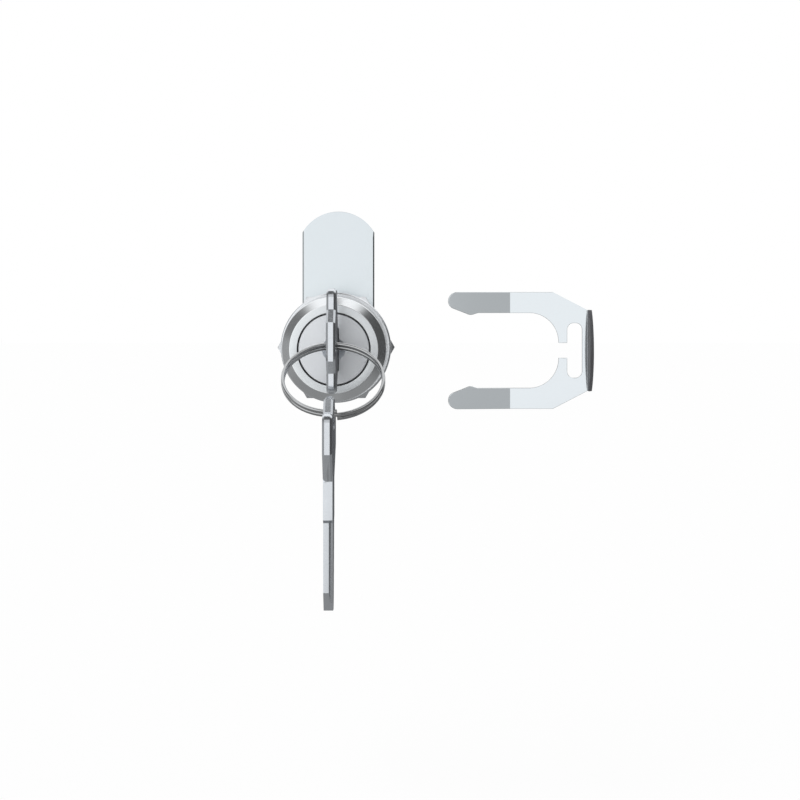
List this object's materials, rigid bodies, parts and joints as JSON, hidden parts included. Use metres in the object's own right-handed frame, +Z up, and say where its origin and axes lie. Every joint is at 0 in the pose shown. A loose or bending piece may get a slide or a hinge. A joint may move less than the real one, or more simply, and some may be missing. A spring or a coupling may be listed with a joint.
{
  "type": "enclosure key lock",
  "caption": "Cylinder key lock for an enclosure panel: bevelled round head, flatted barrel with clip groove, hexagon nut, quarter-turn latch cam, ringed keys and a horseshoe retaining clip.",
  "frame": {"origin": "where the lock axis crosses the front face of the panel, which is the rear face of the head gasket", "axes": "+Y along the lock axis into the enclosure, +Z up along the cam as shown, +X to the right seen from the front"},
  "size_m": [0.069, 0.0779, 0.0808],
  "materials": {
    "die_cast": "satin chrome plate on a die-cast body",
    "gasket": "moulded rubber",
    "zinc_plate": "bright zinc plate",
    "nut_plate": "bright zinc plate",
    "plug_face": "satin chrome plate, finely turned",
    "seal": "moulded rubber",
    "cam_steel": "pale bright zinc plate",
    "key_nickel": "nickel plate",
    "ring_steel": "polished spring steel",
    "clip_steel": "bright zinc plate",
    "wafer_brass": "stamped brass",
    "spring_steel": "music wire"
  },
  "bodies": {
    "housing": {"lock_body": "die_cast", "head_gasket": "gasket", "nut_washer": "zinc_plate", "hex_nut": "nut_plate"},
    "plug_unit": {"plug": "plug_face", "plug_seal": "seal", "stop_washer": "zinc_plate", "cam": "cam_steel", "cam_washer": "zinc_plate", "cam_nut": "zinc_plate", "wafer_spring_1": "spring_steel", "wafer_spring_2": "spring_steel", "wafer_spring_3": "spring_steel", "wafer_spring_4": "spring_steel", "wafer_spring_5": "spring_steel"},
    "lock_key": {"key": "key_nickel"},
    "ring": {"key_ring": "ring_steel"},
    "hanging_key": {"spare_key": "key_nickel"},
    "clip": {"retaining_clip": "clip_steel"},
    "wafer_body_1": {"wafer_1": "wafer_brass"},
    "wafer_body_2": {"wafer_2": "wafer_brass"},
    "wafer_body_3": {"wafer_3": "wafer_brass"},
    "wafer_body_4": {"wafer_4": "wafer_brass"},
    "wafer_body_5": {"wafer_5": "wafer_brass"}
  },
  "joints": [
    {"name": "plug_turn", "type": "hinge", "parent": "housing", "child": "plug_unit", "pos_m": [0, 0, 0], "axis": [0, 1, 0], "range_deg": [0, 90]},
    {"name": "key_withdraw", "type": "slide", "parent": "plug_unit", "child": "lock_key", "axis": [0, -1, 0], "range_m": [0, 0.0256]},
    {"name": "ring_swing", "type": "hinge", "parent": "lock_key", "child": "ring", "pos_m": [0, -0.019, 0.00096], "axis": [1, 0, 0], "range_deg": [-25, 49.5]},
    {"name": "spare_swing", "type": "hinge", "parent": "ring", "child": "hanging_key", "pos_m": [0, -0.0348, -0.0118], "axis": [1, 0, 0], "range_deg": [-80, 5]},
    {"name": "clip_push_on", "type": "slide", "parent": "housing", "child": "clip", "axis": [-0.9999, 0, 0.0129], "range_m": [0, 0.0389]},
    {"name": "wafer_drop_1", "type": "slide", "parent": "plug_unit", "child": "wafer_body_1", "axis": [0, 0, -1], "range_m": [0, 0.001], "deforming": ["wafer_spring_1"]},
    {"name": "wafer_drop_2", "type": "slide", "parent": "plug_unit", "child": "wafer_body_2", "axis": [0, 0, -1], "range_m": [0, 0.001], "deforming": ["wafer_spring_2"]},
    {"name": "wafer_drop_3", "type": "slide", "parent": "plug_unit", "child": "wafer_body_3", "axis": [0, 0, -1], "range_m": [0, 0.001], "deforming": ["wafer_spring_3"]},
    {"name": "wafer_drop_4", "type": "slide", "parent": "plug_unit", "child": "wafer_body_4", "axis": [0, 0, -1], "range_m": [0, 0.001], "deforming": ["wafer_spring_4"]},
    {"name": "wafer_drop_5", "type": "slide", "parent": "plug_unit", "child": "wafer_body_5", "axis": [0, 0, -1], "range_m": [0, 0.001], "deforming": ["wafer_spring_5"]}
  ],
  "couplings": [
    {"joint": "wafer_drop_1", "follows": "key_withdraw", "ratio": 0.039061},
    {"joint": "wafer_drop_2", "follows": "key_withdraw", "ratio": 0.039061},
    {"joint": "wafer_drop_3", "follows": "key_withdraw", "ratio": 0.039061},
    {"joint": "wafer_drop_4", "follows": "key_withdraw", "ratio": 0.039061},
    {"joint": "wafer_drop_5", "follows": "key_withdraw", "ratio": 0.039061}
  ]
}
